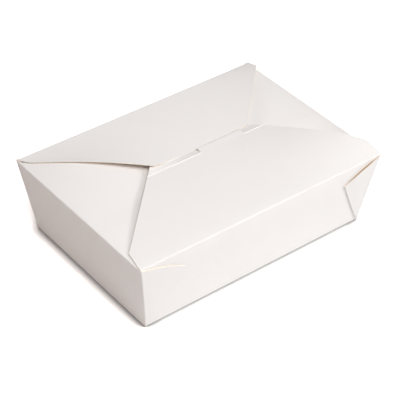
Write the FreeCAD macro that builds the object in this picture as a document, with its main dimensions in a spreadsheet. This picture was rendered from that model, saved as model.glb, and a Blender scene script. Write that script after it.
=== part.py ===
import FreeCAD, Part
import math
import os
import Sketcher
from FreeCAD import Rotation, Vector

# A takeout food box folded from one sheet of white board.
# Frame: origin at the middle of the foot, X along the box, Y to the back, Z up, millimetres.

SIZES = {
    # the tray: outer sizes at the rim, and how far each wall leans outwards from the foot
    "rim_length": 216.0,
    "rim_width": 154.5,
    "rim_height": 62.0,
    "end_spread": 9.5,
    "side_spread": 8.75,
    "board": 0.45,
    "crease_radius": 1.2,
    "end_rim_drop": 0.8,
    # the double webs, folded flat on the outside of the long walls
    "layer_gap": 0.1,
    "left_web_reach": 38.3,
    "right_web_reach": 32.0,
    "web_drop": 16.4,
    "web_bulge": 1.8,
    "post_width": 1.0,
    "post_radius": 0.9,
    "web_fold_width": 0.8,
    # the end flaps, which lie lowest
    "end_flap_depth": 75.0,
    "end_flap_dip": 4.4,
    "end_flap_inset": 4.0,
    "end_flap_taper": 30.0,
    # the front flap, its tab and the two strips beside the tab
    "front_clip": 18.0,
    "front_left_inset": 4.0,
    "front_right_inset": 0.5,
    "seam_place": 3.93,
    "seam_left": 43.6,
    "seam_right": 63.6,
    "seam_drop": 0.8,
    "front_bow": 6.4,
    "tab_left": 5.0,
    "tab_width": 40.0,
    "tab_length": 6.7,
    "slit_width": 0.4,
    "strip_length": 10.5,
    # the back flap
    "back_clip": 10.0,
    "back_left_inset": 5.3,
    "back_right_flare": 1.0,
    "back_edge_gap": 5.42,
    "back_edge_skew": 2.0,
    "back_edge_left": 34.0,
    "back_edge_right": 53.0,
    "back_edge_drop": 1.6,
    "back_cup": 3.0,
    "cup_middle": 22.0,
    "cup_flat": 16.0,
    "left_cup_power": 1.6,
    "right_cup_power": 0.8,
    # the lock and the hinge
    "lock_gap": 0.1,
    "hinge_gap": 0.08,
    "hinge_lip": 1.5,
}

# Worked-out sizes, in the order in which they build on each other.
DERIVED = {
    "web_stack": "2 * Sizes.board + 2 * Sizes.layer_gap",
    "wall_half": "Sizes.rim_width / 2 - Derived.web_stack",
    "foot_half": "Derived.wall_half - Sizes.side_spread",
    "foot_end": "Sizes.rim_length / 2 - Sizes.end_spread",
    "side_lean": "atan(Sizes.side_spread / Sizes.rim_height) / 1 deg",
    "end_lean": "atan(Sizes.end_spread / Sizes.rim_height) / 1 deg",
    "end_rim": "Sizes.rim_height - Sizes.end_rim_drop",
    "end_half": "Sizes.rim_length / 2 - Sizes.end_rim_drop * tan(Derived.end_lean)",
    "wall_top": "Derived.end_rim - 2 * Sizes.crease_radius",
    "wall_top_half": "Derived.wall_half - (Sizes.rim_height - Derived.wall_top) * tan(Derived.side_lean)",
    "end_top_half": "Derived.end_half - (Derived.end_rim - Derived.wall_top) * tan(Derived.end_lean)",
    "inner_radius": "Sizes.crease_radius - Sizes.board",
    "dip_angle": "asin(Sizes.end_flap_dip / Sizes.end_flap_depth) / 1 deg",
    "front_centre": "Derived.wall_half - Sizes.crease_radius * (1 + sin(Derived.side_lean))"
                    " / cos(Derived.side_lean)",
    "end_centre": "Derived.end_half - Sizes.crease_radius * (1 + sin(Derived.end_lean))"
                  " / cos(Derived.end_lean)",
    "mitre_half": "Derived.wall_half - Sizes.board * (tan(Derived.side_lean)"
                  " + 1 / cos(Derived.side_lean))",
    "front_depth": "Derived.front_centre + Sizes.seam_place",
    "back_depth": "Derived.wall_half - Sizes.seam_place - Sizes.back_edge_gap",
}

# How many places a bowed face is worked out at: across a flap, along a flap, and each way on a web.
FLAP_COLUMNS = 15
FLAP_ROWS = 11
WEB_ROWS = 9

doc = FreeCAD.newDocument("takeout_box")
sheet = doc.addObject("Spreadsheet::Sheet", "Sizes")
for row, (alias, value) in enumerate(SIZES.items(), start=1):
    sheet.set(f"A{row}", alias.replace("_", " "))
    sheet.set(f"B{row}", str(value))
    sheet.setAlias(f"B{row}", alias)
doc.recompute()

derived = doc.addObject("App::VarSet", "Derived")
for alias, formula in DERIVED.items():
    derived.addProperty("App::PropertyFloat", alias, "Derived")
    derived.setExpression(alias, formula)
    doc.recompute()


def size(alias):
    """A number from the sheet, or one worked out from it."""
    return float(getattr(derived if alias in DERIVED else sheet, alias))


def origin_plane(body, role):
    return next(item for item in body.Origin.OriginFeatures if item.Role == role)


def sketch_on(body, role, name, turn_axis=None, offsets=None):
    """A sketch on one of the body's own planes, moved or turned by bound offsets."""
    sketch = body.newObject("Sketcher::SketchObject", name)
    sketch.AttachmentSupport = (origin_plane(body, role), [""])
    sketch.MapMode = "FlatFace"
    if turn_axis:
        sketch.AttachmentOffset = FreeCAD.Placement(Vector(), Rotation(turn_axis, 1.0))
    for path, formula in (offsets or {}).items():
        sketch.setExpression("AttachmentOffset." + path, formula)
    return sketch


def arc_through(start, end, radius, side):
    """The short arc between two points that bulges to one side of the chord."""
    chord = end - start
    height = math.sqrt(radius ** 2 - (chord.Length / 2) ** 2)
    across = Vector(-chord.y, chord.x, 0).normalize() * side
    centre = (start + end) / 2 - across * height
    return Part.Arc(start, centre + across * radius, end)


def outline(sketch, corners, arcs=None):
    """A closed outline: corners are pairs of formulas, and a side in arcs is an arc of bound radius."""
    arcs = arcs or {}
    points = []
    for across, up in corners:
        points.append(Vector(float(sketch.evalExpression(across)), float(sketch.evalExpression(up)), 0))
    first = sketch.GeometryCount
    count = len(points)
    for index, start in enumerate(points):
        end = points[(index + 1) % count]
        if index in arcs:
            formula, side = arcs[index]
            radius = float(sketch.evalExpression(formula))
            sketch.addGeometry(arc_through(start, end, radius, side), False)
        else:
            sketch.addGeometry(Part.LineSegment(start, end), False)
    starts = [start_vertex(sketch, first + index, points[index]) for index in range(count)]
    for index, (across, up) in enumerate(corners):
        geometry = first + index
        following = (index + 1) % count
        end_vertex = 3 - starts[index]
        sketch.addConstraint(Sketcher.Constraint(
            "Coincident", geometry, end_vertex, first + following, starts[following]))
        for kind, formula in (("DistanceX", across), ("DistanceY", up)):
            value = points[index].x if kind == "DistanceX" else points[index].y
            number = sketch.addConstraint(Sketcher.Constraint(
                kind, -1, 1, geometry, starts[index], value))
            sketch.setExpression(f"Constraints[{number}]", formula)
        if index in arcs:
            formula = arcs[index][0]
            radius = float(sketch.evalExpression(formula))
            number = sketch.addConstraint(Sketcher.Constraint("Radius", geometry, radius))
            sketch.setExpression(f"Constraints[{number}]", formula)


def start_vertex(sketch, geometry, point):
    """1 or 2: which end of a sketch edge lies at the point (arcs always run counterclockwise)."""
    return 1 if (sketch.getPoint(geometry, 1) - point).Length < 1e-6 else 2


def pad(body, sketch, name, length, symmetric=False, reverse=False):
    feature = body.newObject("PartDesign::Pad", name)
    feature.Profile = sketch
    feature.setExpression("Length", length)
    feature.SideType = "Symmetric" if symmetric else "One side"
    feature.Reversed = reverse
    return feature


def fold_profile(half, rim, centre, lean, dip, side):
    """Corners of a fold's section: up a leaning wall, round the crease and to where the flap starts."""
    radius = "Sizes.crease_radius"
    inner = "Derived.inner_radius"
    centre_up = f"({rim} - {radius})"
    foot = f"({half} - ({rim} - Derived.wall_top) * tan({lean}))"
    corners = [
        (foot, "Derived.wall_top"),
        (f"{centre} + {radius} * cos({lean})", f"{centre_up} - {radius} * sin({lean})"),
        (f"{centre} - {radius} * sin({dip})", f"{centre_up} + {radius} * cos({dip})"),
        (f"{centre} - {inner} * sin({dip})", f"{centre_up} + {inner} * cos({dip})"),
        (f"{centre} + {inner} * cos({lean})", f"{centre_up} - {inner} * sin({lean})"),
        (f"{foot} - Sizes.board / cos({lean})", "Derived.wall_top"),
    ]
    turned = [(f"{side} * ({across})", up) for across, up in corners]
    arcs = {1: (radius, -side), 3: (inner, side)}
    return turned, arcs


def bar(name, role, corners, arcs, length):
    """A body with one section, drawn on one of its own planes and padded evenly to both sides."""
    body = doc.addObject("PartDesign::Body", name)
    sketch = sketch_on(body, role, name + "_section")
    outline(sketch, corners, arcs)
    pad(body, sketch, name + "_pad", length, symmetric=True)
    return body


def cup_profile(foot_half, lean, radius, inset, floor, top):
    """The section of a tapered cup: a flat floor, two rounded foot creases and two leaning walls."""
    centre = f"({foot_half} + Sizes.crease_radius * (tan({lean}) - 1 / cos({lean})))"
    turn = (f"{centre} + {radius} * cos({lean})", f"Sizes.crease_radius - {radius} * sin({lean})")
    mouth = f"({foot_half} + ({top}) * tan({lean}) - {inset} / cos({lean}))"
    corners = [
        (f"-{centre}", floor),
        (centre, floor),
        turn,
        (mouth, top),
        (f"-{mouth}", top),
        (f"-({turn[0]})", turn[1]),
    ]
    return corners, {1: (radius, -1), 5: (radius, -1)}


def make_tray():
    """The tapered tray: one block that is rounded along all four foot creases, less the food space."""
    long_way = ("Derived.foot_half", "Derived.side_lean")
    cross_way = ("Derived.foot_end", "Derived.end_lean")
    outer = ("Sizes.crease_radius", "0", "0", "Derived.wall_top")
    inner = ("Derived.inner_radius", "Sizes.board", "Sizes.board", "Sizes.rim_height")
    blocks = []
    for name, limits in (("outer", outer), ("inner", inner)):
        along = bar(name + "_sides", "YZ_Plane", *cup_profile(*long_way, *limits), "2 * Sizes.rim_length")
        across = bar(name + "_ends", "XZ_Plane", *cup_profile(*cross_way, *limits), "2 * Sizes.rim_width")
        block = doc.addObject("Part::MultiCommon", name + "_block")
        block.Shapes = [along, across]
        blocks.append(block)
    tray = doc.addObject("Part::Cut", "tray")
    tray.Base, tray.Tool = blocks
    return tray


def make_folds():
    """The rim of the tray: rounded folds at the front and the ends, and a mitred back edge."""
    front = fold_profile("Derived.wall_half", "Sizes.rim_height", "Derived.front_centre",
                         "Derived.side_lean", "0", -1)
    folds = [bar("front_fold", "YZ_Plane", *front, "2 * Derived.end_top_half")]
    for side, end in ((-1, "left"), (1, "right")):
        profile = fold_profile("Derived.end_half", "Derived.end_rim", "Derived.end_centre",
                               "Derived.end_lean", "Derived.dip_angle", side)
        folds.append(bar(end + "_fold", "XZ_Plane", *profile, "2 * Derived.wall_top_half"))
    mitred_top = [
        ("Derived.wall_top_half", "Derived.wall_top"),
        ("Derived.wall_half", "Sizes.rim_height"),
        ("Derived.mitre_half", "Sizes.rim_height - Sizes.board"),
        ("Derived.wall_top_half - Sizes.board / cos(Derived.side_lean)", "Derived.wall_top"),
    ]
    folds.append(bar("back_rim", "YZ_Plane", mitred_top, {}, "2 * Derived.end_top_half"))
    return folds


def make_end_flap(side, end):
    """An end flap: a tapered panel that dips inwards from its fold, under both long flaps."""
    body = doc.addObject("PartDesign::Body", end + "_end_flap")
    flap = sketch_on(body, "XY_Plane", end + "_end_flap_outline", turn_axis=Vector(0, -side, 0), offsets={
        "Base.x": f"{side} * (Derived.end_centre - Sizes.crease_radius * sin(Derived.dip_angle))",
        "Base.z": "Derived.end_rim - Sizes.crease_radius * (1 - cos(Derived.dip_angle))",
        "Rotation.Angle": "Derived.dip_angle",
    })
    root = "(Derived.wall_top_half - Sizes.end_flap_inset)"
    tip = f"({root} - Sizes.end_flap_taper)"
    reach = f"{-side} * Sizes.end_flap_depth"
    outline(flap, [("0", f"-{root}"), ("0", root), (reach, tip), (reach, f"-{tip}")])
    pad(body, flap, end + "_end_flap_pad", "Sizes.board", reverse=True)
    return body


def flat_card(points, thickness):
    """A flat piece of board: one face lies on the points, and a vector gives its thickness."""
    return Part.Face(Part.makePolygon(points + points[:1])).extrude(thickness)


def bowed_card(corners, surface_point, rows, columns, thickness):
    """A bowed piece of board, cut to its outline in the direction of its thickness.

    surface_point gives the bowed face over the plan, and rows and columns are the places it goes through.
    """
    surface = Part.BSplineSurface()
    surface.interpolate([[surface_point(across, along) for along in columns] for across in rows])
    board = surface.toShape().extrude(thickness)
    reach = Vector(thickness).normalize() * size("rim_length")
    cutter = Part.Face(Part.makePolygon(corners + corners[:1])).extrude(reach * 2)
    cutter.translate(-reach)
    return board.common(cutter).Solids[0]


def spread(start, end, count):
    """Evenly spaced values from start to end."""
    return [start + (end - start) * step / (count - 1) for step in range(count)]


def front_height(across, depth):
    """The front flap's upper face: it sinks to the seam, and its right side bows upwards."""
    part_way = depth / size("front_depth")
    side = max(0.0, across / size("end_top_half")) ** 2
    bow = size("front_bow") * side * math.sin(math.pi * part_way)
    return size("rim_height") - size("seam_drop") * part_way + bow


def back_edge(across):
    """Where the back flap's free edge lies: it runs a little askew."""
    left = -size("back_edge_left")
    width = size("back_edge_left") + size("back_edge_right")
    return size("wall_half") - size("back_depth") + size("back_edge_skew") * (across - left) / width


def back_height(across, along):
    """The back flap's upper face: it sinks towards the lock, and its sides cup upwards."""
    depth = max(0.0, size("wall_half") - size("hinge_lip") - along)
    part_way = depth / (size("back_depth") - size("hinge_lip"))
    flat = size("cup_flat")
    beside = max(0.0, abs(across - size("cup_middle")) - flat)
    half = size("back_edge_left") + size("cup_middle") - flat
    power = size("left_cup_power" if across < size("cup_middle") else "right_cup_power")
    cup = size("back_cup") * (beside / half) ** 2 * part_way ** power
    return size("rim_height") - size("back_edge_drop") * part_way + cup


def front_flap_shapes():
    """The front flap: a bowed panel, two strips creased down past the seam, and the tab between them."""
    rim = size("rim_height")
    root = -size("front_centre")
    depth = size("front_depth")
    seam = root + depth
    seam_up = rim - size("seam_drop")
    half = size("end_top_half")
    left = -size("seam_left")
    right = size("seam_right")
    down = Vector(0, 0, -size("board"))
    clip = root + size("front_clip")
    past = size("board")
    panel = bowed_card(
        [Vector(-half, root - past, 0), Vector(half, root - past, 0), Vector(half, root, 0),
         Vector(half - size("front_right_inset"), clip, 0), Vector(right, seam, 0),
         Vector(right, seam + past, 0), Vector(left, seam + past, 0), Vector(left, seam, 0),
         Vector(-half + size("front_left_inset"), clip, 0), Vector(-half, root, 0)],
        lambda across, along: Vector(across, along, front_height(across, along - root)),
        spread(-half, half, FLAP_COLUMNS), spread(root, seam, FLAP_ROWS), down)

    tab_left = size("tab_left")
    tab_right = tab_left + size("tab_width")
    slit = size("slit_width")
    tab_edge = seam + size("tab_length")
    under = max(back_height(across, back_edge(across)) for across in (tab_left, tab_right))
    tab_up = under + size("board") + size("lock_gap")
    tab = flat_card(
        [Vector(tab_left, seam, seam_up), Vector(tab_right, seam, seam_up),
         Vector(tab_right - slit, tab_edge, tab_up), Vector(tab_left + slit, tab_edge, tab_up)], down)

    strip_top = back_height(tab_left, back_edge(tab_left)) - size("board") - size("lock_gap")
    to_edge = back_edge(left) - seam
    length = size("strip_length")
    strip_up = seam_up - (seam_up - strip_top) * length / to_edge
    strips = []
    for start, end, start_in, end_in in (
            (left, tab_left - slit, length, 0), (tab_right + slit, right, 0, length)):
        strips.append(flat_card(
            [Vector(start, seam, seam_up), Vector(end, seam, seam_up),
             Vector(end - end_in, seam + length, strip_up),
             Vector(start + start_in, seam + length, strip_up)], down))
    return [panel, tab] + strips


def back_flap_shape():
    """The back flap's bowed panel, from the lip along its hinge to its free edge at the tab."""
    half = size("end_top_half")
    hinge = size("wall_half")
    start = hinge - size("hinge_lip")
    clip = hinge - size("back_clip")
    left = -size("back_edge_left")
    right = size("back_edge_right")
    notch = half + size("back_right_flare")
    past = size("board")
    return bowed_card(
        [Vector(-half, start + past, 0), Vector(-half, start, 0),
         Vector(-half + size("back_left_inset"), clip, 0), Vector(left, back_edge(left), 0),
         Vector(right, back_edge(right), 0), Vector(notch, clip, 0),
         Vector(half, start, 0), Vector(half, start + past, 0)],
        lambda across, along: Vector(across, along, back_height(across, along)),
        spread(-half, notch, FLAP_COLUMNS), spread(back_edge(left) - past, start, FLAP_ROWS),
        Vector(0, 0, -size("board")))


def wall_point(across, up, out):
    """A point on the front long wall's outer face, or a little in front of it."""
    lean = math.radians(size("side_lean"))
    return Vector(across, -(size("wall_half") - (size("rim_height") - up) * math.tan(lean)) - out, up)


def corner_across(up):
    """How far out the end wall's outer face stands at a height."""
    lean = math.radians(size("end_lean"))
    return size("rim_length") / 2 - (size("rim_height") - up) * math.tan(lean)


def web_shapes(reach):
    """One double web at the front right corner: two layers, the fold between them and the corner."""
    board = size("board")
    gap = size("layer_gap")
    post = size("post_width")
    rim = size("end_rim")
    top = (corner_across(rim) - post, rim)
    foot = (corner_across(0) - post, 0)
    tip = (size("rim_length") / 2 - reach, size("rim_height") - size("web_drop"))
    ahead = Vector(0, -1, 0)

    def layer(corners, out, thickness):
        return flat_card([wall_point(across, up, out) for across, up in corners], ahead * thickness)

    def bulged(across, up):
        """The outer layer stands off the inner one, and most at the middle of its cut edge.

        to_tip and to_top are the shares of the tip and the top corner in a point of the triangle.
        """
        spread_out = (tip[0] - foot[0]) * (top[1] - foot[1]) - (top[0] - foot[0]) * (tip[1] - foot[1])
        past, above = across - foot[0], up - foot[1]
        to_tip = (past * (top[1] - foot[1]) - (top[0] - foot[0]) * above) / spread_out
        to_top = ((tip[0] - foot[0]) * above - past * (tip[1] - foot[1])) / spread_out
        return wall_point(across, up, 2 * gap + board + 4 * to_tip * to_top * size("web_bulge"))

    outer = bowed_card(
        [Vector(top[0], 0, top[1]), Vector(foot[0], 0, foot[1]), Vector(tip[0], 0, tip[1])],
        bulged, spread(tip[0] - post, top[0] + post, WEB_ROWS),
        spread(-post, rim + post, WEB_ROWS), ahead * board)
    sunk = board / 2
    flat = post - size("post_radius")
    fold = size("web_fold_width")
    corner = layer([(top[0] + post, rim), (foot[0] + post, 0), foot, top], -sunk, size("web_stack") + sunk)
    outermost = max(corner.Edges, key=lambda edge: edge.CenterOfMass.x - edge.CenterOfMass.y)
    return [
        layer([top, foot, tip], gap, board),
        outer,
        corner.makeFillet(size("post_radius"), [outermost]),
        layer([foot, tip, (tip[0] + fold, tip[1]), (foot[0] + flat, 0)], gap + board / 2, gap + board),
    ]


def solid_feature(name, shapes):
    """A document object that holds one solid, joined from the shapes."""
    feature = doc.addObject("Part::Feature", name)
    feature.Shape = shapes[0].multiFuse(shapes[1:]) if len(shapes) > 1 else shapes[0]
    return feature


def mirrored(name, source, normal):
    """A mirror image across the middle of the box."""
    feature = doc.addObject("Part::Mirroring", name)
    feature.Source = source
    feature.Normal = normal
    return feature


def make_webs():
    """The four double webs: the ones at the back mirror the ones at the front."""
    right = solid_feature("front_right_web", web_shapes(size("right_web_reach")))
    turned = solid_feature("turned_left_web", web_shapes(size("left_web_reach")))
    left = mirrored("front_left_web", turned, Vector(1, 0, 0))
    back_right = mirrored("back_right_web", right, Vector(0, 1, 0))
    back_left = mirrored("back_left_web", left, Vector(0, 1, 0))
    return [right, left, back_right, back_left]


def make_hinge_lip():
    """The root of the back flap, mitred against the back rim so that it turns about the outer edge."""
    corners = [
        ("Derived.wall_half - Sizes.hinge_gap", "Sizes.rim_height"),
        ("Derived.wall_half - Sizes.hinge_lip", "Sizes.rim_height"),
        ("Derived.wall_half - Sizes.hinge_lip", "Sizes.rim_height - Sizes.board"),
        ("Derived.mitre_half - Sizes.hinge_gap", "Sizes.rim_height - Sizes.board"),
    ]
    return bar("hinge_lip", "YZ_Plane", corners, {}, "2 * Derived.end_top_half")


def join(name, pieces):
    """One solid, fused from its pieces, with its own label and placement."""
    joined = doc.addObject("Part::MultiFuse", name)
    joined.Shapes = pieces
    joined.Refine = True
    joined.Label = name
    joined.Placement = FreeCAD.Placement()
    return joined


def check_document(parts):
    """Stop if any object failed, or if a sub-part isn't one closed, valid solid."""
    for item in doc.Objects:
        if "Invalid" in item.State or "Error" in item.State:
            raise RuntimeError(f"{item.Name} failed: {item.State}")
    for piece in parts:
        shape = piece.Shape
        if shape.isNull() or not shape.isValid() or len(shape.Solids) != 1:
            raise RuntimeError(f"{piece.Label} isn't one valid solid")


folded_sheet = join("folded_sheet", [
    make_tray(),
    *make_folds(),
    make_end_flap(-1, "left"),
    make_end_flap(1, "right"),
    solid_feature("front_flap", front_flap_shapes()),
])
carton = join("carton", [folded_sheet, *make_webs()])
back_flap = join("back_flap", [make_hinge_lip(), solid_feature("back_panel", [back_flap_shape()])])
doc.recompute()
check_document([carton, back_flap])

os.makedirs("parts", exist_ok=True)
for piece in (carton, back_flap):
    piece.Shape.exportStep(f"parts/{piece.Label}.step")
    box = FreeCAD.BoundBox()
    for point in piece.Shape.tessellate(size("board"))[0]:
        box.add(point)
    print(piece.Label, round(piece.Shape.Volume, 1), "mm3,", len(piece.Shape.Faces), "faces,",
          "box", [round(value, 2) for value in (box.XMin, box.YMin, box.ZMin, box.XMax, box.YMax, box.ZMax)])
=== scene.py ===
import math
import bmesh
import bpy
from mathutils import Matrix, Vector


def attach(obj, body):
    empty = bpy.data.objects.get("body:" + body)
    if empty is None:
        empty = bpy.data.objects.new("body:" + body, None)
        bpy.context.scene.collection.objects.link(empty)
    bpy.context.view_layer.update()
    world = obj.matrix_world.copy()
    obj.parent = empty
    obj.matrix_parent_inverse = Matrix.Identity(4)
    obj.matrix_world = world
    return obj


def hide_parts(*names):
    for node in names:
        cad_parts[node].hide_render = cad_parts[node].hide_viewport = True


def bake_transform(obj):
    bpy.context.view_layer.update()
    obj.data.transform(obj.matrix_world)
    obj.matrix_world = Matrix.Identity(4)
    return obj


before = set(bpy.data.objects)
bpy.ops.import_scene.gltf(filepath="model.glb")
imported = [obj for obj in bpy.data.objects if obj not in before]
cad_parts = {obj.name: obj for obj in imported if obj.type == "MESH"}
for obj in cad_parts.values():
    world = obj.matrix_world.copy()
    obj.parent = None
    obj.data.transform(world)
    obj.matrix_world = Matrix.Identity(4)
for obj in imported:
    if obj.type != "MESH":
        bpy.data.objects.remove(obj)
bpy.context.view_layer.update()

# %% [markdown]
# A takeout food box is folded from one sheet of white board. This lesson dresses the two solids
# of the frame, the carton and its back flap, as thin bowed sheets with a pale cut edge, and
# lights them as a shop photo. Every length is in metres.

# %% [markdown]
# The camera stands where the photographer stood. It could be placed by eye, but here its place
# was fitted to the box's visible corners, so that the outlines agree. It is a plain pinhole
# camera with a long lens and no shift.

# %% Camera
CAMERA_TARGET = Vector((-0.00708, -0.01057, 0.032))
CAMERA_AZIMUTH = math.radians(-38.37)
CAMERA_HEIGHT = math.radians(38.40)
CAMERA_ROLL = math.radians(0.97)
CAMERA_DISTANCE = 1.0623
SENSOR = 36.0
FOCAL_PIXELS = 1456.7
PHOTO_PIXELS = 400
FOCAL_IN_FRAMES = FOCAL_PIXELS / PHOTO_PIXELS


def add_object(name, data):
    """A new object at the origin of the scene."""
    thing = bpy.data.objects.new(name, data)
    bpy.context.scene.collection.objects.link(thing)
    return thing


def add_camera():
    """A camera that looks at its target from an angle round it and a height above it."""
    level = math.cos(CAMERA_HEIGHT)
    sideways, forwards = math.sin(CAMERA_AZIMUTH), math.cos(CAMERA_AZIMUTH)
    back = Vector((sideways * level, -forwards * level, math.sin(CAMERA_HEIGHT)))
    right = Vector((0, 0, 1)).cross(back).normalized()
    up = back.cross(right)
    turned_right = math.cos(CAMERA_ROLL) * right + math.sin(CAMERA_ROLL) * up
    turned_up = math.cos(CAMERA_ROLL) * up - math.sin(CAMERA_ROLL) * right
    data = bpy.data.cameras.new("camera")
    data.sensor_width = SENSOR
    data.lens = SENSOR * FOCAL_IN_FRAMES
    camera = add_object("camera", data)
    turn = Matrix((turned_right, turned_up, back)).transposed().to_4x4()
    camera.matrix_world = Matrix.Translation(CAMERA_TARGET + back * CAMERA_DISTANCE) @ turn
    bpy.context.scene.camera = camera
    return camera


camera = add_camera()
print("camera at", tuple(round(value, 3) for value in camera.location))

# %% [markdown]
# The floor is a pale sweep that the camera sees as white, yet it darkens right beside the box,
# as the real table does. A white picture behind the box would lose that shadow, so the floor's
# own material makes it: only rays from the camera see the brighter colour, and an Ambient
# Occlusion node finds the places that lie close to the box.

# %% Floor
FLOOR_REACH = 3.0
FLOOR_COLOR = (0.86, 0.85, 0.85, 1)
FLOOR_SEEN = (2.6, 2.6, 2.6, 1)
FLOOR_SHADE = (0.30, 0.30, 0.30, 1)
SHADE_REACH = 0.011
SHADE_START = 0.42


def empty_material(name):
    """A new material with no nodes yet, and its nodes and links."""
    material = bpy.data.materials.new(name)
    material.use_nodes = True
    nodes = material.node_tree.nodes
    nodes.clear()
    return material, nodes, material.node_tree.links


def color_mix(nodes, **colors):
    """A mix of two colours, with those that are given set on its inputs A and B."""
    mix = nodes.new("ShaderNodeMix")
    mix.data_type = "RGBA"
    for socket, color in colors.items():
        mix.inputs[socket].default_value = color
    return mix


def floor_material():
    """A pale floor. Seen by the camera it is brighter, and darkens only right beside the box."""
    material, nodes, links = empty_material("pale_floor")
    out = nodes.new("ShaderNodeOutputMaterial")
    diffuse = nodes.new("ShaderNodeBsdfDiffuse")
    path = nodes.new("ShaderNodeLightPath")
    near = nodes.new("ShaderNodeAmbientOcclusion")
    near.inputs["Distance"].default_value = SHADE_REACH
    fade = nodes.new("ShaderNodeMapRange")
    fade.inputs["From Min"].default_value = SHADE_START
    seen = color_mix(nodes, A=FLOOR_SHADE, B=FLOOR_SEEN)
    tone = color_mix(nodes, A=FLOOR_COLOR)
    links.new(near.outputs["AO"], fade.inputs["Value"])
    links.new(fade.outputs["Result"], seen.inputs["Factor"])
    links.new(seen.outputs["Result"], tone.inputs["B"])
    links.new(path.outputs["Is Camera Ray"], tone.inputs["Factor"])
    links.new(tone.outputs["Result"], diffuse.inputs["Color"])
    links.new(diffuse.outputs[0], out.inputs["Surface"])
    return material


def add_floor():
    mesh = bpy.data.meshes.new("floor")
    sheet = bmesh.new()
    bmesh.ops.create_grid(sheet, x_segments=1, y_segments=1, size=FLOOR_REACH)
    sheet.to_mesh(mesh)
    sheet.free()
    floor = add_object("floor", mesh)
    mesh.materials.append(floor_material())
    return floor


floor = add_floor()
print("floor", 2 * FLOOR_REACH, "m wide")

# %% [markdown]
# The key light stands off to the right. One lamp alone would leave the front wall too dark, so
# three soft lamps fill in from the front, the left and above, and a weak warm one low on the
# left tints the end wall. The room adds a little light, and the camera sees it as white.

# %% World and lamps
ROOM_LEVEL = 0.14
ROOM_COLOR = (1, 0.92, 0.89, 1)
WHITE_LIGHT = (1, 1, 1)
SOFT_LIGHT = (1, 0.975, 0.96)
WARM_LIGHT = (1, 0.72, 0.62)
LAMPS = (
    # Name, place, size, power in watts and colour.
    ("key", (1.16, -0.97, 0.77), 0.45, 11.8, WHITE_LIGHT),
    ("front", (-0.1, -0.6, 0.9), 0.7, 4.6, SOFT_LIGHT),
    ("left", (-0.32, -0.45, 0.95), 0.7, 3.1, SOFT_LIGHT),
    ("top", (0.2, 0.0, 1.8), 1.0, 4.4, SOFT_LIGHT),
    ("low", (-1.2, 0.4, 0.25), 0.3, 1.5, WARM_LIGHT),
)


def add_world():
    """A dim, slightly warm room that the camera sees as white."""
    world = bpy.data.worlds.new("studio")
    bpy.context.scene.world = world
    world.use_nodes = True
    nodes, links = world.node_tree.nodes, world.node_tree.links
    nodes.clear()
    out = nodes.new("ShaderNodeOutputWorld")
    mix = nodes.new("ShaderNodeMixShader")
    path = nodes.new("ShaderNodeLightPath")
    light = nodes.new("ShaderNodeBackground")
    light.inputs["Strength"].default_value = ROOM_LEVEL
    light.inputs["Color"].default_value = ROOM_COLOR
    white = nodes.new("ShaderNodeBackground")
    links.new(path.outputs["Is Camera Ray"], mix.inputs["Fac"])
    links.new(light.outputs[0], mix.inputs[1])
    links.new(white.outputs[0], mix.inputs[2])
    links.new(mix.outputs[0], out.inputs["Surface"])


def add_lamp(name, place, size, power, color):
    """A square lamp that faces the middle of the foot."""
    data = bpy.data.lights.new(name, "AREA")
    data.color = color
    data.size = size
    data.energy = power
    lamp = add_object(name, data)
    lamp.location = place
    lamp.rotation_euler = (-Vector(place)).to_track_quat("-Z", "Y").to_euler()
    return lamp


bpy.context.scene.view_settings.view_transform = "Standard"
add_world()
lamps = [add_lamp(*lamp) for lamp in LAMPS]
print("world and", len(lamps), "lamps")

# %% [markdown]
# These are the sizes of the folded sheet. The walls' outer faces, the creases and the flaps all
# follow from them, in the same frame as the solids.

# %% Sizes of the folded sheet
MM = 0.001
BOARD = 0.45 * MM
RIM_HEIGHT = 62.0 * MM
END_RIM = 61.2 * MM
WALL_HALF = 76.15 * MM
RIM_HALF = 108.0 * MM
SIDE_SPREAD = 8.75 * MM
END_SPREAD = 9.5 * MM
CREASE = 0.8 * MM
SIDE_LEAN = math.atan(SIDE_SPREAD / RIM_HEIGHT)
END_LEAN = math.atan(END_SPREAD / RIM_HEIGHT)
ROOT_HALF = 107.51 * MM


def face_out(rim_out, lean, up):
    """How far out a wall's flat outer face stands at a height."""
    return rim_out - (RIM_HEIGHT - up) * math.tan(lean)


def foot_centre(foot_out, lean):
    """Where the axis of a foot crease lies, for a wall whose face would meet the table there."""
    return foot_out + CREASE * (math.tan(lean) - 1 / math.cos(lean))


def rim_centre(rim_out, lean):
    """Where the axis of a rim crease lies, for a wall whose face would reach the rim there."""
    return rim_out - CREASE * (1 + math.sin(lean)) / math.cos(lean)


def wall_out(rim_out, taper, lean, up):
    """How far out a wall's outer face stands at a height, the foot crease included."""
    if up < CREASE * (1 - math.sin(lean)):
        return foot_centre(rim_out - taper, lean) + math.sqrt(CREASE ** 2 - (CREASE - up) ** 2)
    return face_out(rim_out, lean, up)


def side_out(up):
    return wall_out(WALL_HALF, SIDE_SPREAD, SIDE_LEAN, up)


def end_out(up):
    return wall_out(RIM_HALF, END_SPREAD, END_LEAN, up)


print("wall leans", round(math.degrees(SIDE_LEAN), 2), round(math.degrees(END_LEAN), 2))

# %% [markdown]
# The board has a white coated face and a raw cut edge. Its inside is drawn tan, as painted warm
# shade that gives the gaps between the layers their dim, warm tone. A flat colour would look like
# plastic, so each gets soft blotches and a fine grain, both from noise. All three take them from
# object coordinates, so that they stay put when the flap turns.

# %% Board materials
WHITE = (0.885, 0.876, 0.866, 1)
# The inside's tan is painted warm shade for the gaps between the layers.
INSIDE_GAP_SHADE = (0.82, 0.64, 0.50, 1)
CUT = (0.95, 0.87, 0.77, 1)
SHINE = 0.12
GRAIN_STRENGTH = 0.5
GRAIN_DETAIL = 4
BLOTCH_DETAIL = 3


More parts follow.
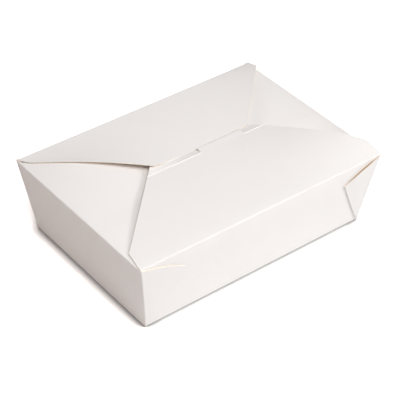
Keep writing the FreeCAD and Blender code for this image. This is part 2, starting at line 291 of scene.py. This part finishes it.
def noise_on(nodes, links, place, scale, detail):
    """A noise pattern that is fixed to the board."""
    cloud = nodes.new("ShaderNodeTexNoise")
    cloud.inputs["Scale"].default_value = scale
    cloud.inputs["Detail"].default_value = detail
    links.new(place.outputs["Object"], cloud.inputs["Vector"])
    return cloud.outputs["Fac"]


def add_grain(nodes, links, place, shader, scale, height):
    """Fine paper grain: noise that tilts the surface a little."""
    bump = nodes.new("ShaderNodeBump")
    bump.inputs["Strength"].default_value = GRAIN_STRENGTH
    bump.inputs["Distance"].default_value = height
    links.new(noise_on(nodes, links, place, scale, GRAIN_DETAIL), bump.inputs["Height"])
    links.new(bump.outputs["Normal"], shader.inputs["Normal"])


def mottled(nodes, links, place, color, scale, depth):
    """The board's colour, a little darker in soft blotches."""
    darker = tuple(channel * (1 - depth) for channel in color[:3]) + (1,)
    mix = color_mix(nodes, A=color, B=darker)
    links.new(noise_on(nodes, links, place, scale, BLOTCH_DETAIL), mix.inputs["Factor"])
    return mix.outputs["Result"]


def board_material(name, color, roughness, blotch_scale, blotch_depth, grain_scale, grain_height):
    material, nodes, links = empty_material(name)
    out = nodes.new("ShaderNodeOutputMaterial")
    shader = nodes.new("ShaderNodeBsdfPrincipled")
    shader.inputs["Roughness"].default_value = roughness
    shader.inputs["Specular IOR Level"].default_value = SHINE
    place = nodes.new("ShaderNodeTexCoord")
    add_grain(nodes, links, place, shader, grain_scale, grain_height)
    tone = mottled(nodes, links, place, color, blotch_scale, blotch_depth)
    links.new(tone, shader.inputs["Base Color"])
    links.new(shader.outputs[0], out.inputs["Surface"])
    return material


white_board = board_material(
    "white_board", WHITE, roughness=0.62,
    blotch_scale=60, blotch_depth=0.02, grain_scale=1800, grain_height=0.00004)
# The inside face: tan painted warm shade, which shows in the gaps between the layers.
inside_gap_shade_board = board_material(
    "inside_gap_shade_board", INSIDE_GAP_SHADE, roughness=0.8,
    blotch_scale=90, blotch_depth=0.06, grain_scale=1500, grain_height=0.00006)
cut_edge = board_material(
    "cut_edge", CUT, roughness=0.9,
    blotch_scale=900, blotch_depth=0.10, grain_scale=4000, grain_height=0.00008)
BOARD_SIDES = (white_board, inside_gap_shade_board, cut_edge)
print(len(BOARD_SIDES), "board materials")

# %% [markdown]
# Every part of the sheet starts as a flat grid. A formula places each of its points, which
# gives smoother bows than pulling points by hand. Solidify then thickens the grid inwards, so
# that its outer face keeps its place, and gives the inside and the cut edge their materials.

# %% From a grid to a thick board
SHARP_ANGLE = math.radians(28)
TOUCHING = 0.01 * MM
FIRST_FACES = 3


def grid_sheet(columns, rows, place):
    """A grid with a line of points for each column and each row value.

    Each point is moved to place(column, row).
    """
    sheet = bmesh.new()
    last_column, last_row = len(columns) - 1, len(rows) - 1
    bmesh.ops.create_grid(sheet, x_segments=last_column, y_segments=last_row, size=1)
    for vertex in sheet.verts:
        column = round((vertex.co.x + 1) / 2 * last_column)
        row = round((vertex.co.y + 1) / 2 * last_row)
        vertex.co = place(columns[column], rows[row])
    sheet.normal_update()
    return sheet


def face_outwards(sheet, outward):
    """Turn the sheet so that its first faces look the way that outward points."""
    sheet.faces.ensure_lookup_table()
    if sum(face.normal.dot(outward) for face in sheet.faces[:FIRST_FACES]) < 0:
        bmesh.ops.reverse_faces(sheet, faces=sheet.faces[:])


def bake(piece):
    """Turn the modifiers into mesh above the table, smooth over folds and sharp at cut edges."""
    graph = bpy.context.evaluated_depsgraph_get()
    piece.data = bpy.data.meshes.new_from_object(piece.evaluated_get(graph))
    piece.modifiers.clear()
    for vertex in piece.data.vertices:
        vertex.co.z = max(vertex.co.z, 0.0)
    piece.data.shade_smooth()
    piece.data.set_sharp_from_angle(angle=SHARP_ANGLE)


def board_piece(name, sheet, outward, body):
    """A thick piece of board from an open sheet whose face is the white outer side."""
    bmesh.ops.remove_doubles(sheet, verts=sheet.verts[:], dist=TOUCHING)
    face_outwards(sheet, outward)
    mesh = bpy.data.meshes.new(name)
    sheet.to_mesh(mesh)
    sheet.free()
    for material in BOARD_SIDES:
        mesh.materials.append(material)
    piece = add_object(name, mesh)
    thick = piece.modifiers.new("board", "SOLIDIFY")
    thick.thickness = BOARD
    thick.offset = -1
    # The inside face takes the tan painted warm shade.
    thick.material_offset = BOARD_SIDES.index(inside_gap_shade_board)
    thick.material_offset_rim = BOARD_SIDES.index(cut_edge)
    bake(piece)
    if body:
        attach(piece, body)
    return piece


print("board", round(BOARD / MM, 2), "mm thick")

# %% [markdown]
# The long sheet runs from the tab over the front flap, round the front crease, down the front
# wall, across the foot and up the back wall. Flat plates could stand for these, but real board
# bends round its folds, so one grid follows the whole path, and each of its rows is a line
# across the sheet. The front flap narrows to the seam, and its right side bows upwards.

# %% Rows of the front flap
FLAP_ROOT = rim_centre(WALL_HALF, SIDE_LEAN)
SEAM_BACK = 3.93 * MM
FRONT_DEPTH = FLAP_ROOT + SEAM_BACK
FRONT_LEFT_CLIP = 18.0 * MM
FRONT_LEFT_INSET = 4.0 * MM
FRONT_RIGHT_CLIP = 14.5 * MM
FRONT_RIGHT_REACH = 108.4 * MM
SEAM_LEFT = -43.6 * MM
SEAM_RIGHT = 63.6 * MM
SEAM_DROP = 0.8 * MM
SEAM_UP = RIM_HEIGHT - SEAM_DROP
FRONT_BOW = 6.4 * MM


def mixed(start, end, share):
    return start + (end - start) * share


def front_y(depth):
    """Where a line of the front flap lies, from its distance to the flap's root."""
    return depth - FLAP_ROOT


def front_height(across, depth):
    """The front flap's upper face: it sinks to the seam, and its right side bows upwards."""
    share = depth / FRONT_DEPTH
    side = max(0.0, across / ROOT_HALF) ** 2
    return RIM_HEIGHT - SEAM_DROP * share + FRONT_BOW * side * math.sin(math.pi * share)


def flap_sides(depth):
    """The left and right edge of the front flap at a distance from its root."""
    left_notch = FRONT_LEFT_INSET - ROOT_HALF
    left_share = (depth - FRONT_LEFT_CLIP) / (FRONT_DEPTH - FRONT_LEFT_CLIP)
    right_share = (depth - FRONT_RIGHT_CLIP) / (FRONT_DEPTH - FRONT_RIGHT_CLIP)
    right = min(mixed(FRONT_RIGHT_REACH, SEAM_RIGHT, right_share), FRONT_RIGHT_REACH)
    if depth < FRONT_LEFT_CLIP:
        return mixed(-ROOT_HALF, left_notch, depth / FRONT_LEFT_CLIP), right
    return mixed(left_notch, SEAM_LEFT, left_share), right


def flap_row(depth):
    def place(share):
        left, right = flap_sides(depth)
        across = mixed(left, right, share)
        return Vector((across, front_y(depth), front_height(across, depth)))
    return place


print("front flap", round(FRONT_DEPTH / MM, 1), "mm deep")

# %% [markdown]
# Past the seam two slits cut the sheet in three. The tab in the middle stays flat and holds the
# back flap down. The strips beside it are creased along the seam, go down under the back flap
# and end in a slant. A boolean could cut the slits, but the grid stays cleaner when two narrow
# columns of its faces are left out.

# %% Rows of the tab and the strips
TAB_LEFT = 5.0 * MM
TAB_RIGHT = 45.0 * MM
TAB_LENGTH = 6.7 * MM
TAB_UP = 61.25 * MM
TAB_BEND = 0.82
TAB_BEND_WIDTH = 0.02
TAB_DROP = 0.55 * MM
SLIT = 0.12 * MM
STRIP_LENGTH = 10.5 * MM
STRIP_UP = 59.45 * MM
STRIP_RISE = 2.7 * MM
RIDGE_WIDTH = 0.9 * MM
RIDGE_HEIGHT = 0.36 * MM


def on_tab(across):
    return TAB_LEFT - SLIT / 2 < across < TAB_RIGHT + SLIT / 2


def ridge_row(offset, height):
    """A line on or beside the seam: the strips' crease is a fine ridge, the tab stays flat."""
    def place(share):
        across = mixed(SEAM_LEFT, SEAM_RIGHT, share)
        lift = 0 if on_tab(across) else height
        return Vector((across, front_y(FRONT_DEPTH + offset), SEAM_UP + lift))
    return place


def tab_point(across, out):
    """A point of the tab: its cut sides slant inwards, and its end bends down a little."""
    inwards = 1 if across < (TAB_LEFT + TAB_RIGHT) / 2 else -1
    width_share = (across - TAB_LEFT) / (TAB_RIGHT - TAB_LEFT)
    across += inwards * SLIT * out * abs(2 * width_share - 1)
    up = TAB_UP - TAB_DROP * max(0, out - TAB_BEND) / (1 - TAB_BEND)
    return Vector((across, front_y(FRONT_DEPTH + TAB_LENGTH * out), mixed(SEAM_UP, up, out)))


def strip_point(across, out):
    """A point of a strip: its far end slants inwards, and the left strip rises to that end."""
    if across < TAB_LEFT:
        inwards, near, far = 1, TAB_LEFT - SLIT, SEAM_LEFT
        up = STRIP_UP + STRIP_RISE * (TAB_LEFT - across) / (TAB_LEFT - SEAM_LEFT)
    else:
        inwards, near, far = -1, TAB_RIGHT + SLIT, SEAM_RIGHT
        up = STRIP_UP
    across += inwards * STRIP_LENGTH * out * (across - near) / (far - near)
    return Vector((across, front_y(FRONT_DEPTH + STRIP_LENGTH * out), mixed(SEAM_UP, up, out)))


def beyond_row(out):
    """A line past the seam. out runs from 0 at the seam to 1 at the cut edges."""
    def place(share):
        across = mixed(SEAM_LEFT, SEAM_RIGHT, share)
        return tab_point(across, out) if on_tab(across) else strip_point(across, out)
    return place


def slit_face(face):
    """True for a face in one of the two slits beside the tab."""
    middle = face.calc_center_median()
    sides = [vertex.co.x for vertex in face.verts]
    narrow = max(sides) - min(sides) < 2 * SLIT
    past_seam = front_y(FRONT_DEPTH) + TOUCHING < middle.y < front_y(FRONT_DEPTH + STRIP_LENGTH)
    return narrow and past_seam


print("tab", round((TAB_RIGHT - TAB_LEFT) / MM, 1), "mm wide between two slits")

# %% [markdown]
# The rest of the path is made of level lines. A bevel could round the folds, but these rows
# follow the crease's own arc, so that its width is known. A few rows are enough for a wall.

# %% Rows of the creases and the walls
CREASE_STEPS = 7
WALL_ROWS = 6


def spread(start, end, count):
    """Evenly spaced values from start to end."""
    return [start + (end - start) * step / (count - 1) for step in range(count)]


def wall_row(side, up):
    """A level line on a long wall, which ends inside the end walls."""
    def place(share):
        half = end_out(up) - BOARD
        return Vector((mixed(-half, half, share), side * side_out(up), up))
    return place


def rim_crease_row(side, turn):
    """A line on the rim crease: turn 0 is the flap's side, and the full turn is the wall's."""
    def place(share):
        out = FLAP_ROOT + CREASE * math.sin(turn)
        up = RIM_HEIGHT - CREASE + CREASE * math.cos(turn)
        right = ROOT_HALF
        if side < 0:
            right = mixed(FRONT_RIGHT_REACH, ROOT_HALF, math.sin(turn) ** 2)
        return Vector((mixed(-ROOT_HALF, right, share), side * out, up))
    return place


def rim_turns():
    """Turns round a long wall's rim crease, from the flap to the wall."""
    return spread(0, math.pi / 2 + SIDE_LEAN, CREASE_STEPS)


def foot_heights():
    """Heights along a foot crease, from the table to the wall."""
    return [CREASE * (1 - math.cos(turn))
            for turn in spread(0, math.pi / 2 - SIDE_LEAN, CREASE_STEPS)]


def wall_heights(rim, lean):
    """Heights down a wall, from its rim crease to its foot crease."""
    return spread(rim - CREASE - CREASE * math.sin(lean), foot_heights()[-1], WALL_ROWS)


print("foot crease", round(foot_heights()[-1] / MM, 2), "mm high")

# %% The long sheet: tab, strips, front flap, front wall, foot and back wall
SHEET_COLUMNS = 25
FLAP_ROWS = 12
NEAR_SEAM = 4.0 * MM
BEYOND_ROWS = (1, TAB_BEND, TAB_BEND - TAB_BEND_WIDTH, 0.5, 0.08)


def seam_share(across):
    return (across - SEAM_LEFT) / (SEAM_RIGHT - SEAM_LEFT)


def long_sheet():
    slit_sides = (TAB_LEFT - SLIT, TAB_LEFT, TAB_RIGHT, TAB_RIGHT + SLIT)
    columns = sorted(spread(0, 1, SHEET_COLUMNS) + [seam_share(side) for side in slit_sides])
    rows = [beyond_row(out) for out in BEYOND_ROWS]
    rows += [ridge_row(RIDGE_WIDTH / 2, 0), ridge_row(0, RIDGE_HEIGHT)]
    depths = [FRONT_DEPTH - RIDGE_WIDTH / 2]
    depths += spread(FRONT_DEPTH - NEAR_SEAM, FRONT_LEFT_CLIP, FLAP_ROWS)
    depths += [FRONT_RIGHT_CLIP, FRONT_RIGHT_CLIP / 2]
    rows += [flap_row(depth) for depth in depths]
    rows += [rim_crease_row(-1, turn) for turn in rim_turns()]
    walls = wall_heights(RIM_HEIGHT, SIDE_LEAN)
    rows += [wall_row(-1, up) for up in walls[1:]]
    rows += [wall_row(-1, up) for up in reversed(foot_heights()[:-1])]
    rows += [wall_row(1, up) for up in foot_heights()]
    rows += [wall_row(1, up) for up in reversed(walls[:-1])]
    sheet = grid_sheet(columns, rows, lambda share, row: row(share))
    slit_faces = [face for face in sheet.faces if slit_face(face)]
    bmesh.ops.delete(sheet, geom=slit_faces, context="FACES")
    piece = board_piece("long_sheet", sheet, Vector((0, 0, 1)), "box")
    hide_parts("carton")
    return piece


long_board = long_sheet()
print("long sheet", len(long_board.data.polygons), "faces")

# %% [markdown]
# A web joins each end wall to a long wall. It goes round the corner, lies on the long wall as
# the outer layer, folds back under itself along a slanted line, and ends at the corner again.
# Two loose triangles would look alike from the front, but the fold shows at the web's edge, so
# all of it is one grid, and its columns follow the board through the corner and the fold.

# %% Sizes of the webs
WEB_GAP = 0.1 * MM
WEB_STACK = 2 * BOARD + 2 * WEB_GAP
WEB_PRESSED = 0.3
WEB_OPENING = 5.0
WEB_CUT_RISE = 2.3 * MM
WEB_TIP_UP = RIM_HEIGHT - 16.4 * MM
CORNER_RADIUS = 0.9 * MM
FOLD_RADIUS = (WEB_STACK - WEB_GAP) / 2
LEFT_REACH = 38.3 * MM
LEFT_BULGE = 0.3 * MM
RIGHT_REACH = 32.0 * MM
RIGHT_BULGE = 1.3 * MM
BESIDE_FOLD = 0.015
CORNER_STEPS = 5
LAYER_STEPS = 9
FOLD_STEPS = 9
WEB_ROWS = 13


def arch(share):
    """A bow that is 0 at both ends and 1 in the middle."""
    return 4 * share * (1 - share)


def pressed(height):
    """The layers press flat towards the foot, where they come together in a point."""
    return min(1, WEB_PRESSED + WEB_OPENING * height)


print("web", round(WEB_STACK / MM, 2), "mm thick")

# %% The four double webs
def web(name, side_x, side_y, reach, bulge):
    """One web, made at the front right corner and mirrored to its own."""
    top = Vector((end_out(END_RIM) - CORNER_RADIUS, 0, END_RIM))
    foot = Vector((RIM_HALF - END_SPREAD - CORNER_RADIUS, 0, 0))
    tip = Vector((RIM_HALF - reach, 0, WEB_TIP_UP))
    along_fold = tip - foot
    beside_fold = Vector((-along_fold.z, 0, along_fold.x)).normalized()

    def layer(share, height, out):
        point = foot + height * mixed(top - foot, tip - foot, share)
        point.z += WEB_CUT_RISE * arch(share) * height ** 2
        point.y = -face_out(WALL_HALF, SIDE_LEAN, point.z) - out
        return point

    def place(column, height):
        kind, value = column
        stack = WEB_STACK * pressed(height)
        if kind == "outer":
            return layer(value, height, stack + bulge * arch(value) * height ** 2)
        if kind == "fold":
            point = layer(1, height, stack - FOLD_RADIUS * (1 - math.cos(value)))
            return point + beside_fold * FOLD_RADIUS * math.sin(value) * pressed(height)
        if kind == "inner":
            return layer(value, height, stack - 2 * FOLD_RADIUS)
        up = END_RIM * height
        end_face, side_face = face_out(RIM_HALF, END_LEAN, up), face_out(WALL_HALF, SIDE_LEAN, up)
        if kind == "join":
            return Vector((end_face, -side_face, up))
        across = end_face - CORNER_RADIUS * (1 - math.cos(value))
        return Vector((across, -side_face - stack + CORNER_RADIUS * (1 - math.sin(value)), up))

    shares = [BESIDE_FOLD] + spread(0, 1, LAYER_STEPS)[1:-1] + [1 - BESIDE_FOLD]
    columns = [("join", 0)] + [("corner", turn) for turn in spread(0, math.pi / 2, CORNER_STEPS)]
    columns += [("outer", share) for share in shares + [1]]
    columns += [("fold", turn) for turn in spread(0, math.pi, FOLD_STEPS)[1:]]
    columns += [("inner", share) for share in reversed([0] + shares)]
    sheet = grid_sheet(columns, spread(0, 1, WEB_ROWS), place)
    bmesh.ops.scale(sheet, vec=(side_x, -side_y, 1), verts=sheet.verts[:])
    sheet.normal_update()
    return board_piece(name, sheet, Vector((side_x, 0, 0)), "box")


webs = [
    web("front_right_web", 1, -1, RIGHT_REACH, RIGHT_BULGE),
    web("front_left_web", -1, -1, LEFT_REACH, LEFT_BULGE),
    web("back_right_web", 1, 1, RIGHT_REACH, RIGHT_BULGE),
    web("back_left_web", -1, 1, LEFT_REACH, LEFT_BULGE),
]
print("webs", [len(piece.data.polygons) for piece in webs], "faces")

# %% [markdown]
# The back flap is the only one that opens by itself. It could be a flat plate, but its cupped
# sides show in the photo where it passes over the end flaps, so its height is a formula too.

# %% The back flap
BACK_CLIP = WALL_HALF - 10.0 * MM
BACK_LEFT_NOTCH = -102.21 * MM
BACK_RIGHT_NOTCH = 108.45 * MM
BACK_LEFT_FREE = Vector((-34.0 * MM, 9.35 * MM))
BACK_RIGHT_FREE = Vector((53.0 * MM, 11.35 * MM))
BACK_EDGE_DROP = 1.6 * MM
BACK_CUP = 3.0 * MM
CUP_MIDDLE = 22.0 * MM
CUP_FLAT = 16.0 * MM
LEFT_CUP_POWER = 1.6
RIGHT_CUP_POWER = 0.8
BACK_ROWS = 14
FLAP_COLUMNS = 29


def back_height(across, along):
    """The back flap's upper face: it sinks towards the lock, and its sides cup upwards."""
    share = max(0.0, (FLAP_ROOT - along) / (FLAP_ROOT - BACK_LEFT_FREE.y))
    beside = max(0.0, abs(across - CUP_MIDDLE) - CUP_FLAT)
    half = CUP_MIDDLE - BACK_LEFT_FREE.x - CUP_FLAT
    power = LEFT_CUP_POWER if across < CUP_MIDDLE else RIGHT_CUP_POWER
    return RIM_HEIGHT - BACK_EDGE_DROP * share + BACK_CUP * (beside / half) ** 2 * share ** power


def back_place(share, row):
    """row runs from 0 at the root over 1 at the notches to 2 at the free edge."""
    if row < 1:
        along = mixed(FLAP_ROOT, BACK_CLIP, row)
        left = mixed(-ROOT_HALF, BACK_LEFT_NOTCH, row)
        right = mixed(ROOT_HALF, BACK_RIGHT_NOTCH, row)
        across = mixed(left, right, share)
    else:
        left = Vector((BACK_LEFT_NOTCH, BACK_CLIP)).lerp(BACK_LEFT_FREE, row - 1)
        right = Vector((BACK_RIGHT_NOTCH, BACK_CLIP)).lerp(BACK_RIGHT_FREE, row - 1)
        across, along = left.lerp(right, share)
    return Vector((across, along, back_height(across, along)))


def back_flap_piece():
    rows = [0, 0.5] + spread(1, 2, BACK_ROWS)
    sheet = grid_sheet(spread(0, 1, FLAP_COLUMNS), rows, back_place)
    piece = board_piece("back_flap_board", sheet, Vector((0, 0, 1)), "lid_flap")
    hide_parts("back_flap")
    return piece


back_board = back_flap_piece()
print("back flap", len(back_board.data.polygons), "faces")

# %% [markdown]
# A narrow crease strip bends between the back flap and the back wall. A rigid strip would tear
# off one of them when the flap opens. This one is built in place and joined to neither body.

# %% The back crease
CREASE_COLUMNS = 13


def back_crease():
    rows = [rim_crease_row(1, turn) for turn in rim_turns()]
    sheet = grid_sheet(spread(0, 1, CREASE_COLUMNS), rows, lambda share, row: row(share))
    piece = board_piece("back_crease", sheet, Vector((0, 0, 1)), None)
    flap_side, wall_side = rows[0](0.5), rows[-1](0.5)
    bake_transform(piece)
    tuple(wall_side)
    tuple(flap_side)
    return piece


crease = back_crease()
print("crease", len(crease.data.polygons), "faces")

# %% [markdown]
# Each end wall folds in over the food as the lowest flap. The board springs back a little, so
# the flap lifts towards the back until it is close under the back flap. Wall and flap are one
# grid, as the long sheet is, and its rows run from the flap's free edge to the foot.

# %% Sizes of the end flaps
END_DEPTH = 75.0 * MM
END_DROP = 4.4 * MM
END_DIP = math.asin(END_DROP / END_DEPTH)
END_FLAP_ROOT_HALF = 71.7 * MM
END_FLAP_TAPER = 30.0 * MM
END_CLIP = 1.5 * MM
END_ROWS = 16
END_LIFT = 3.6 * MM
LIFT_REACH = 95.0 * MM
LIFT_TURN = -12.0 * MM
LIFT_SPAN = 43.0 * MM
LEFT_SINK = 0.2
RIGHT_SINK = 3.2
LEFT_CLEARANCE = 0.6 * MM
RIGHT_CLEARANCE = 1.3 * MM


def lifted(across, along, up, depth):
    """The height of an end flap's point, twisted up at the back but never into the back flap."""
    sink, clearance = RIGHT_SINK, RIGHT_CLEARANCE
    if across < 0:
        sink, clearance = LEFT_SINK, LEFT_CLEARANCE
    rise = (along - LIFT_TURN) / LIFT_SPAN * (1 if along > LIFT_TURN else sink)
    lift = END_LIFT * math.sin(math.pi * depth / LIFT_REACH) * rise
    if along > BACK_LEFT_FREE.y:
        return min(up + lift, back_height(across, along) - BOARD - clearance)
    return up + lift


print("end flaps dip", round(math.degrees(END_DIP), 2), "degrees")

# %% The two ends: end flap and end wall
def end_sheet(side, name):
    """An end wall and its flap. A row is its half width, place, height and depth of flap."""
    centre = rim_centre(end_out(END_RIM), END_LEAN)
    root_half = side_out(END_RIM - 2 * CREASE)

    def end_flap_row(depth):
        half = END_FLAP_ROOT_HALF - END_FLAP_TAPER * depth / END_DEPTH
        out = centre - CREASE * math.sin(END_DIP) - depth * math.cos(END_DIP)
        up = END_RIM - CREASE * (1 - math.cos(END_DIP)) - depth * math.sin(END_DIP)
        return half if depth else root_half, out, up, depth

    def crease_row(turn):
        up = END_RIM - CREASE + CREASE * math.cos(turn)
        return root_half, centre + CREASE * math.sin(turn), up, 0

    def place(share, row):
        half, out, up, depth = row
        across, along = side * out, mixed(-half, half, share)
        return Vector((across, along, lifted(across, along, up, depth) if depth else up))

    rows = [end_flap_row(depth) for depth in spread(END_DEPTH, END_CLIP, END_ROWS) + [0]]
    turns = spread(-END_DIP, math.pi / 2 + END_LEAN, CREASE_STEPS + 1)
    rows += [crease_row(turn) for turn in turns[1:]]
    heights = wall_heights(END_RIM, END_LEAN)[1:] + foot_heights()[-2::-1]
    rows += [(side_out(up), end_out(up), up, 0) for up in heights]
    sheet = grid_sheet(spread(0, 1, FLAP_COLUMNS), rows, place)
    return board_piece(name, sheet, Vector((0, 0, 1)), "box")


ends = [end_sheet(-1, "left_end"), end_sheet(1, "right_end")]
print("ends", [len(end.data.polygons) for end in ends], "faces")
